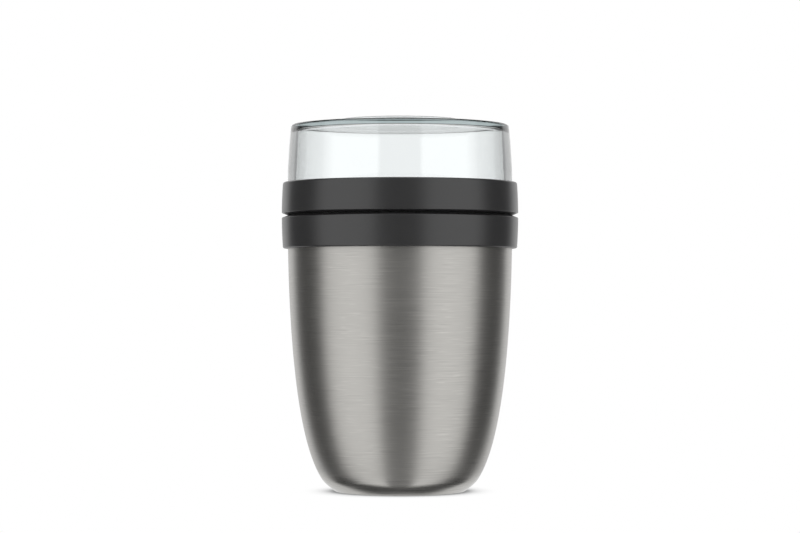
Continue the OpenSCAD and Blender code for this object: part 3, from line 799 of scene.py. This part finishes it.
def spotted(name, size, detail, dark, light, metallic, roughness, relief):
    """Metal in spots of one size, which set its colour, its roughness between two values and
    how far it stands out."""
    material, graph = material_graph(name)
    spots = graph.grain(graph.place(), size, detail)
    graph.surface({
        "Base Color": graph.mix(spots, dark, light),
        "Metallic": metallic,
        "Roughness": graph.towards(*roughness, spots),
        "Normal": graph.bump(spots, relief),
    })
    return material


def solder(name):
    """Bead of solder: bright where it flowed, dull in spots."""
    dull, bright = (0.5, 0.47, 0.4), (0.72, 0.68, 0.58)
    return spotted(name, 0.8 * MM, 3.0, dull, bright, 1.0, (0.1, 0.6), 0.05 * MM)


def pressed_powder(name):
    """Pellet pressed from grey metal powder."""
    dark, light = (0.1, 0.1, 0.11), (0.3, 0.3, 0.32)
    return spotted(name, 0.25 * MM, 2.0, dark, light, 0.6, (0.5, 0.8), 0.05 * MM)


def foil(name):
    """Thin bright foil, wrinkled a little by wrapping."""
    dark, light, wrinkle = (0.7, 0.7, 0.72), (0.88, 0.88, 0.9), (5 * MM, 5 * MM, 9 * MM)
    return spotted(name, wrinkle, 4.0, dark, light, 1.0, (0.1, 0.3), 0.3 * MM)


def cell_foam(name):
    """Closed-cell foam: pale, with small round cells."""
    material, graph = material_graph(name)
    middle, rim, cells_per_mm = (0.86, 0.84, 0.78), (0.7, 0.68, 0.62), 1.2
    scaled = graph.scaled(graph.place(), MM)
    cells = graph.node("TexVoronoi", {"Vector": scaled, "Scale": cells_per_mm})["Distance"]
    graph.surface({
        "Base Color": graph.mix(cells, middle, rim),
        "Roughness": graph.towards(0.85, 0.95, cells),
        "Normal": graph.bump(1 - cells, 0.2 * MM),
    })
    return material


def settings():
    """All settings of the scene's pot."""
    return bpy.context.scene.food_pot


def lid_plastic():
    """Plastic of both lids."""
    finishes = settings().finishes
    return shared("lid plastic", lambda name: moulded(
        name, finishes.lid, finishes.lid_roughness, finishes.grain_w, PLASTIC_RELIEF,
        finishes.lid_gloss))


def rubber():
    """Rubber of both seals."""
    finishes = settings().finishes
    return shared("seal rubber", lambda name: moulded(
        name, finishes.seal, finishes.seal_roughness, 2 * finishes.grain_w, RUBBER_RELIEF))


def shared(name, make):
    """The material of this name, made the first time that a piece asks for it."""
    return bpy.data.materials.get(name) or make(name)


class FOODPOT_OT_stage(Operator):
    """Floor, world light and camera"""
    bl_idname = "food_pot.stage"
    bl_label = "Stage"

    def execute(self, context):
        studio = settings().studio
        context.scene.view_settings.view_transform = "Standard"
        self.light(context.scene, studio)
        self.floor(context.scene, studio)
        self.camera(context.scene, studio)
        return {"FINISHED"}

    def light(self, scene, studio):
        """World light. Rays from the pieces meet the room, the camera itself sees plain white,
        and rays that went through the clear plastic see what through_plastic works out."""
        scene.world = bpy.data.worlds.new("studio")
        graph = Graph(scene.world)
        x, y, z = graph.split(graph.node("TexCoord")["Generated"])
        sideways = graph.math("ABSOLUTE", x)
        back = graph.rise(y - sideways, *ROOM_BACK)
        room = self.room(graph, studio, sideways, y, z, back)
        path = graph.node("LightPath")
        seen = self.through_plastic(graph, studio, room, path, sideways, y, z, back)
        strength = graph.towards(room, seen, path["Is Transmission Ray"])
        strength = graph.towards(strength, 1, path["Is Camera Ray"])
        background = graph.node("Background", {"Color": (1, 1, 1), "Strength": strength})
        graph.node("OutputWorld", {"Surface": background["Background"]})

    def room(self, graph, studio, sideways, y, z, back):
        """Brightness of the room by direction: a dim front, a soft box and a dark gap on each
        side, a bright backdrop, a panel overhead, the shadow under the pot and the bright table
        behind it. The front nearly keeps its width on the heel, which mirrors what lies lower
        down, because its angle is taken mostly from the wall that would mirror the direction."""
        down = graph.math("MAXIMUM", -z, LEAST_DOWN)
        round_angle = graph.math("ARCTAN2", sideways, -y)
        wall_angle = graph.math("ARCTAN2", sideways, 1 - y)
        front_angle = graph.towards(round_angle, wall_angle * 2, FRONT_ON_WALL)
        low, high = studio.box_from - FRONT_SOFT, studio.box_from + FRONT_SOFT
        front = 1 - graph.rise(front_angle, low, high)
        low, high = math.cos(studio.box_to + BOX_SOFT), math.cos(studio.box_to - BOX_SOFT)
        boxes = (1 - front) * graph.rise(-y, low, high)
        front_light = graph.rise(down, *FRONT_DOWN) * FRONT_EXTRA + studio.front
        lit = front * (front_light - studio.gap) + boxes * (studio.box - studio.gap)
        room = studio.gap + graph.rise(-y, *ROOM_FRONT) * lit
        room = room + back * (studio.backdrop - studio.gap)
        room = graph.towards(room, studio.overhead, graph.rise(z, *ROOM_ABOVE))
        under = graph.rise(down, *UNDER_DOWN) * graph.rise(y, *UNDER_BACK)
        room = graph.towards(room, studio.under, under)
        edge = graph.towards(TABLE_NEAR, TABLE_FAR, graph.rise(sideways / down, *TABLE_SIDE))
        table = graph.rise(y / down - edge, *TABLE_EDGE) * graph.rise(y - sideways, *TABLE_BACK)
        return graph.towards(room, studio.behind, table * graph.rise(down, *TABLE_DOWN))

    def through_plastic(self, graph, studio, room, path, sideways, y, z, back):
        """Brightness at the end of a ray that went through clear plastic. Straight through both
        walls of the cup it is white, and straight through an edge it is what edges gather. A
        ray that was mirrored on the way meets the room in front and at the sides, but a tone of
        its own behind, one for the near walls and one for the far ones. Steep ones, which come
        from rounded edges, are never darker than what edges gather."""
        crossed = graph.math("GREATER_THAN", path["Transmission Depth"], BOTH_WALLS)
        straight = graph.math("LESS_THAN", path["Glossy Depth"], NO_MIRROR)
        far_walls = graph.rise(y - sideways, *AHEAD) * studio.far_walls
        mirrored = graph.towards(room, graph.towards(studio.near_walls, far_walls, crossed), back)
        steep = graph.rise(graph.math("ABSOLUTE", z), *STEEP)
        mirrored = graph.math("MAXIMUM", mirrored, steep * studio.edges)
        return graph.towards(mirrored, graph.towards(studio.edges, 1, crossed), straight)

    def floor(self, scene, studio):
        """Round floor. It is white with a soft contact shadow where it is seen, plain and pale
        where it throws light back, and it lets mirror rays and views from below through."""
        material, graph = material_graph("pale floor")
        path = graph.node("LightPath")
        seen = graph.math("MAXIMUM", path["Is Camera Ray"], path["Is Transmission Ray"])
        inputs = {"Distance": studio.contact_w}
        openness = graph.node("AmbientOcclusion", inputs, samples=AO_SAMPLES)["AO"]
        glow = graph.towards(studio.contact, 1, graph.rise(openness, *OPEN_FLOOR))
        shown = graph.node("Emission", {"Color": (1, 1, 1), "Strength": glow})["Emission"]
        plain = graph.node("BsdfDiffuse", {"Color": (studio.floor_tone,) * 3})["BSDF"]
        lit = graph.node("MixShader", {0: seen, 1: plain, 2: shown})["Shader"]
        below = graph.node("NewGeometry")["Backfacing"]
        through = graph.math("MAXIMUM", path["Is Glossy Ray"], below)
        clear = graph.node("BsdfTransparent")["BSDF"]
        graph.node("OutputMaterial", {
            "Surface": graph.node("MixShader", {0: through, 1: lit, 2: clear})["Shader"]})
        angle = 2 * math.pi * np.arange(COLUMNS) / COLUMNS
        rim = np.column_stack([studio.floor_r * np.cos(angle), studio.floor_r * np.sin(angle),
                               np.full(COLUMNS, -studio.floor_gap)])
        mesh = bpy.data.meshes.new("floor")
        mesh.from_pydata(rim, [], [list(range(COLUMNS))])
        mesh.materials.append(material)
        floor = bpy.data.objects.new("floor", mesh)
        scene.collection.objects.link(floor)

    def camera(self, scene, studio):
        """Camera in front of the pot, which looks up a little."""
        data = bpy.data.cameras.new("camera")
        data.lens = studio.camera_lens
        data.clip_start, data.clip_end = CLIP
        camera = bpy.data.objects.new("camera", data)
        camera.location = (0, -studio.camera_y, studio.camera_z)
        camera.rotation_euler = (math.pi / 2 + studio.camera_tilt, 0, 0)
        scene.collection.objects.link(camera)
        scene.camera = camera


class FOODPOT_OT_wall(Operator):
    """Brushed outer wall with its heel, shoulder and threaded neck"""
    bl_idname = "food_pot.wall"
    bl_label = "Outer wall"

    def execute(self, context):
        shape, finishes = Shape(settings()), settings().finishes
        neck_top_z = shape.rim_z - shape.liner_t
        slope_l = math.hypot(shape.neck_step, shape.shoulder_h)
        slope_t = shape.shell_t * slope_l / shape.neck_step
        slope_drop = shape.shell_t * shape.shoulder_h / shape.neck_step
        inner_shoulder_z = shape.shoulder_z - slope_t + slope_drop
        inner_r = shape.neck_r - shape.shell_t
        heel_out = bend(np.array([shape.foot_r, 0]), shape.heel_corner(0, shape.heel_turn_z),
                        shape.wall_point(shape.heel_h, 0))
        heel_in = bend(shape.wall_point(shape.heel_h, shape.shell_t),
                       shape.heel_corner(shape.shell_t, shape.heel_turn_z + shape.shell_t),
                       np.array([shape.foot_r, shape.shell_t]))
        shoulder_r = shape.body_r(shape.shoulder_z)
        corners = joined(
            [(shape.foot_r, 0, shape.foot_edge_r)], heel_out[1:],
            shape.wall(shape.heel_h, shape.wall_top_z, 0, BODY_STEPS),
            [(shoulder_r, shape.shoulder_z, shape.shoulder_edge_r),
             (shape.neck_r, shape.shoulder_z + shape.shoulder_h, shape.sheet_edge_r),
             (shape.neck_r, neck_top_z), (inner_r, neck_top_z),
             (inner_r, inner_shoulder_z + shape.shoulder_h, shape.sheet_edge_r),
             (shoulder_r - shape.shell_t, inner_shoulder_z, shape.sheet_edge_r)],
            shape.wall(shape.heel_h, shape.wall_top_z - slope_t, shape.shell_t, LINER_STEPS)[::-1],
            heel_in,
            [(shape.foot_in_r + shape.shell_t, shape.shell_t),
             (shape.foot_in_r + shape.shell_t, shape.recess_h),
             (shape.foot_in_r, shape.recess_h), (shape.foot_in_r, 0, shape.sheet_edge_r)])
        material = steel("brushed steel", finishes.steel, finishes.steel_roughness,
                         finishes.steel_stretch, finishes.streak_l, finishes.streak_w,
                         WALL_RELIEF, shape.shoulder_z - shape.shoulder_edge_r, 2 * shape.heel_h)
        neck_ridges, _ = shape.lid_threads(JOINT_Z - shape.thread_s)
        place_piece("brushed_wall", corners, "pot", ["outer_shell"], material,
                    [neck_ridges])
        return {"FINISHED"}


class FOODPOT_OT_liner(Operator):
    """Liner that holds the food, with its rolled rim"""
    bl_idname = "food_pot.liner"
    bl_label = "Liner"

    def side(self, shape, depth, floor_z):
        """Floor, rounded corner and side of the liner at one depth, from the axis upwards."""
        corner = shape.wall_corner(shape.liner_turn_z, depth, floor_z)
        flat_end = corner - [shape.liner_corner_w, 0]
        top_z = shape.rim_z - shape.rim_edge_r - shape.liner_t
        return joined([(0, floor_z)],
                      bend(flat_end, corner, shape.wall_point(shape.liner_turn_z, depth)),
                      shape.wall(shape.liner_turn_z, top_z, depth, LINER_STEPS))

    def execute(self, context):
        shape, finishes = Shape(settings()), settings().finishes
        under_z = shape.rim_z - shape.liner_t
        corners = joined(
            self.side(shape, shape.liner_in_depth, shape.liner_floor_z),
            [(shape.mouth_r, shape.rim_z, shape.rim_edge_r),
             (shape.neck_r, shape.rim_z, shape.sheet_edge_r),
             (shape.neck_r, under_z),
             (shape.mouth_r + shape.liner_t, under_z, shape.sheet_edge_r)],
            self.side(shape, shape.liner_out_depth, shape.liner_floor_z - shape.liner_t)[::-1])
        material = steel("liner steel", finishes.liner, finishes.liner_roughness,
                         finishes.liner_stretch, 2 * finishes.streak_l, finishes.streak_w,
                         LINER_RELIEF)
        place_piece("liner", corners, "pot", ["inner_shell"], material)
        return {"FINISHED"}


class FOODPOT_OT_base(Operator):
    """Base plate with its dimple, and the disc that covers it"""
    bl_idname = "food_pot.base"
    bl_label = "Base"

    def execute(self, context):
        shape, finishes = Shape(settings()), settings().finishes
        low_z, edge = shape.recess_h, shape.sheet_edge_r
        top_z = low_z + shape.plate_t
        plate_r = shape.foot_in_r + shape.shell_t
        slope_r = shape.dimple_r + shape.dimple_slope_w
        plate = joined([
            (shape.hole_r, low_z + shape.dimple_h), (shape.dimple_r, low_z + shape.dimple_h, edge),
            (slope_r, low_z, edge), (plate_r, low_z), (plate_r, top_z),
            (slope_r + shape.plate_t / 2, top_z, edge),
            (shape.dimple_r + shape.plate_t / 2, top_z + shape.dimple_h, edge),
            (shape.hole_r, top_z + shape.dimple_h)])
        cover_r, cover_z = shape.foot_in_r - shape.cover_gap, low_z - shape.cover_t
        cover = joined([
            (0, cover_z + shape.cover_dish_h), (shape.cover_dish_r, cover_z + shape.cover_dish_h),
            (shape.cover_dish_r + shape.cover_dish_h, cover_z), (cover_r, cover_z, edge),
            (cover_r, low_z), (0, low_z)])
        material = turned_steel("turned steel", finishes.steel, finishes.base_roughness,
                                finishes.base_stretch)
        place_piece("base_disc", plate, "pot", ["base_plate"], material)
        place_piece("cover_disc", cover, "pot", ["base_cover"], material)
        return {"FINISHED"}


class FOODPOT_OT_pot_lid(Operator):
    """The pot's lid: collar, deck, boss, and the plug under it"""
    bl_idname = "food_pot.pot_lid"
    bl_label = "Pot lid"

    def execute(self, context):
        shape, finishes = Shape(settings()), settings().finishes
        boss_in_r, roof_s = shape.boss_r - shape.lid_t, shape.lid_t - shape.boss_h
        shell = joined(
            [(0, -shape.boss_h), (shape.boss_r, -shape.boss_h, shape.inside_r),
             (shape.boss_r, shape.face_s, shape.sheet_edge_r)],
            shape.lid_side(),
            [(boss_in_r, shape.deck_s, shape.inside_r), (boss_in_r, roof_s, shape.inside_r),
             (0, roof_s)])
        _, bore_ridges = shape.lid_threads(JOINT_Z - shape.thread_s)
        boss_ridges, _ = shape.link_threads()
        place_piece("lower_collar", below_joint(shell), "pot_lid",
                    ["pot_lid_shell"], lid_plastic(), [bore_ridges, boss_ridges])
        plug_in_r, plug_floor_s = shape.plug_r - shape.plug_t, shape.plug_s - shape.plug_floor_t
        plug = joined([
            (0, shape.plug_s), (shape.plug_r, shape.plug_s, shape.plug_edge_r),
            (shape.plug_r, shape.deck_s), (plug_in_r, shape.deck_s),
            (plug_in_r, plug_floor_s, shape.inside_r), (0, plug_floor_s)])
        material = moulded("plug plastic", finishes.plug, finishes.plug_roughness,
                           2 * finishes.grain_w, PLASTIC_RELIEF)
        place_piece("lid_plug", below_joint(plug), "pot_lid",
                    ["pot_lid_plug"], material)
        return {"FINISHED"}


class FOODPOT_OT_cup_lid(Operator):
    """The cup's lid: the same collar the other way up, a rib and a recess"""
    bl_idname = "food_pot.cup_lid"
    bl_label = "Cup lid"

    def execute(self, context):
        shape = Shape(settings())
        rib_s, rib_in_r = shape.deck_s + shape.rib_h, shape.plug_r - shape.rib_t
        dome_r, dome_s = shape.boss_recess_r + shape.lid_t, shape.boss_recess_s + shape.lid_t
        shell = joined(
            [(0, shape.boss_recess_s), (shape.boss_recess_r, shape.boss_recess_s, shape.inside_r),
             (shape.boss_recess_r, shape.face_s, shape.sheet_edge_r)],
            shape.lid_side(),
            [(shape.plug_r, shape.deck_s, shape.sheet_edge_r), (shape.plug_r, rib_s, shape.inside_r),
             (rib_in_r, rib_s, shape.inside_r), (rib_in_r, shape.deck_s, shape.inside_r),
             (dome_r, shape.deck_s, shape.inside_r), (dome_r, dome_s, 2 * shape.inside_r),
             (0, dome_s)])
        _, bore_ridges = shape.lid_threads(JOINT_Z + shape.thread_s)
        _, recess_ridges = shape.link_threads()
        place_piece("upper_collar", above_joint(shell), "cup_lid",
                    ["cup_lid_shell"], lid_plastic(), [bore_ridges, recess_ridges])
        return {"FINISHED"}


class FOODPOT_OT_cup(Operator):
    """Clear cup, mouth down, with its thread round the mouth"""
    bl_idname = "food_pot.cup"
    bl_label = "Clear cup"

    def execute(self, context):
        shape = Shape(settings())
        roof_s = shape.cup_top_s - shape.cup_end_t
        first_s = shape.cup_top_s - ARC_ROOM * shape.cup_edge_r
        out_s = np.linspace(first_s, shape.cup_bulge_s, CUP_STEPS + 1)
        foot_in_r, foot_edge = shape.cup_foot_r - shape.cup_foot_w, shape.cup_foot_edge_r
        foot_s = shape.cup_top_s + shape.cup_foot_h
        cup = joined(
            [(0, shape.cup_top_s), (foot_in_r, shape.cup_top_s, foot_edge),
             (foot_in_r, foot_s, foot_edge), (shape.cup_foot_r, foot_s, foot_edge),
             (shape.cup_foot_r, shape.cup_top_s, foot_edge),
             (shape.cup_r(shape.cup_top_s), shape.cup_top_s, shape.cup_edge_r)],
            np.column_stack([shape.cup_r(out_s), out_s]),
            [(shape.pot_r, shape.shoulder_s, shape.mouth_edge_r),
             (shape.neck_r, shape.shoulder_s - shape.shoulder_h, shape.mouth_edge_r),
             (shape.neck_r, shape.rim_s, shape.mouth_edge_r),
             (shape.pot_r - shape.cup_t, shape.rim_s, shape.mouth_edge_r),
             (shape.pot_r - shape.cup_t, shape.cup_taper_s),
             (shape.cup_r(roof_s) - shape.cup_top_t, roof_s, shape.cup_corner_r), (0, roof_s)])
        mouth_ridges, _ = shape.lid_threads(JOINT_Z + shape.thread_s)
        place_piece("clear_cup", above_joint(cup), "cup", ["cup"],
                    clear_plastic(settings().finishes), [mouth_ridges], CUP_COLUMNS)
        return {"FINISHED"}


class FOODPOT_OT_seals(Operator):
    """The two lipped seals, and the ring in the groove between the lids"""
    bl_idname = "food_pot.seals"
    bl_label = "Seals and ring"

    def execute(self, context):
        shape, finishes = Shape(settings()), settings().finishes
        edge, lip = shape.sheet_edge_r, shape.seal_lip_w
        near_s, far_s = shape.deck_s + shape.seal_gap, shape.rim_s - shape.seal_gap
        channel_s = far_s - shape.seal_channel_h
        in_r, out_r = shape.seal_in_r, shape.seal_out_r
        seal = joined([
            (in_r, near_s, edge), (out_r, near_s, edge), (out_r, far_s, edge),
            (out_r - lip, far_s, edge), (out_r - lip, channel_s), (in_r + lip, channel_s),
            (in_r + lip, far_s, edge), (in_r, far_s, edge)])
        place_piece("pot_rim_seal", below_joint(seal), "pot_seal",
                    ["pot_seal"], rubber())
        place_piece("cup_rim_seal", above_joint(seal), "cup_seal",
                    ["cup_seal"], rubber())
        low_r, high_r = shape.pocket_in_r + shape.ring_gap, shape.pocket_out_r - shape.ring_gap
        half_h = shape.pocket_s - shape.ring_gap
        ring = joined([(low_r, -half_h, edge), (high_r, -half_h, edge),
                       (high_r, half_h, edge), (low_r, half_h, edge)])
        # The ring's near-black colour is partly dark rubber and partly painted shade for the deep
        # groove between the collars
        material = moulded("groove ring rubber", finishes.ring, finishes.ring_roughness,
                           2 * finishes.grain_w, RUBBER_RELIEF)
        place_piece("groove_ring", above_joint(ring), "joint_ring",
                    ["joint_ring"], material)
        return {"FINISHED"}


class FOODPOT_OT_inner_parts(Operator):
    """Finishes of the parts that the walls hide"""
    bl_idname = "food_pot.inner_parts"
    bl_label = "Inner parts"

    def execute(self, context):
        makers = {"vacuum_seal": solder, "getter": pressed_powder,
                  "heat_foil": foil, "lid_foam": cell_foam}
        for node, make in makers.items():
            material = make(node.replace("_", " ") + " finish")
            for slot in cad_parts[node].material_slots:
                slot.material = material
        return {"FINISHED"}


class FOODPOT_PT_panel(Panel):
    """Lists the pot's pieces and settings"""
    bl_idname = "FOODPOT_PT_panel"
    bl_label = "Food Pot"
    bl_space_type = "VIEW_3D"
    bl_region_type = "UI"
    bl_category = "Food Pot"

    def draw(self, context):
        column = self.layout.column(align=True)
        for operator in OPERATORS:
            column.operator(operator.bl_idname)
        for name in FOODPOT_PG_settings.__annotations__:
            group = getattr(context.scene.food_pot, name)
            box = self.layout.box()
            box.label(text=name.capitalize())
            for setting in group.__annotations__:
                box.prop(group, setting)


GROUPS = (FOODPOT_PG_body, FOODPOT_PG_base, FOODPOT_PG_lids, FOODPOT_PG_threads,
          FOODPOT_PG_cup, FOODPOT_PG_seals, FOODPOT_PG_finishes, FOODPOT_PG_studio,
          FOODPOT_PG_settings)
OPERATORS = (FOODPOT_OT_stage, FOODPOT_OT_wall, FOODPOT_OT_liner, FOODPOT_OT_base,
             FOODPOT_OT_pot_lid, FOODPOT_OT_cup_lid, FOODPOT_OT_cup, FOODPOT_OT_seals,
             FOODPOT_OT_inner_parts)


def register():
    """Makes the settings, the operators and the panel known, and adds the settings."""
    for part in (*GROUPS, *OPERATORS, FOODPOT_PT_panel):
        bpy.utils.register_class(part)
    bpy.types.Scene.food_pot = PointerProperty(type=FOODPOT_PG_settings)


def unregister():
    """Takes all of that away again."""
    del bpy.types.Scene.food_pot
    for part in reversed((*GROUPS, *OPERATORS, FOODPOT_PT_panel)):
        bpy.utils.unregister_class(part)


def main():
    """Makes the stage and every piece."""
    register()
    bpy.ops.food_pot.stage()
    bpy.ops.food_pot.wall()
    bpy.ops.food_pot.liner()
    bpy.ops.food_pot.base()
    bpy.ops.food_pot.pot_lid()
    bpy.ops.food_pot.cup_lid()
    bpy.ops.food_pot.cup()
    bpy.ops.food_pot.seals()
    bpy.ops.food_pot.inner_parts()


if __name__ == "__main__":
    main()
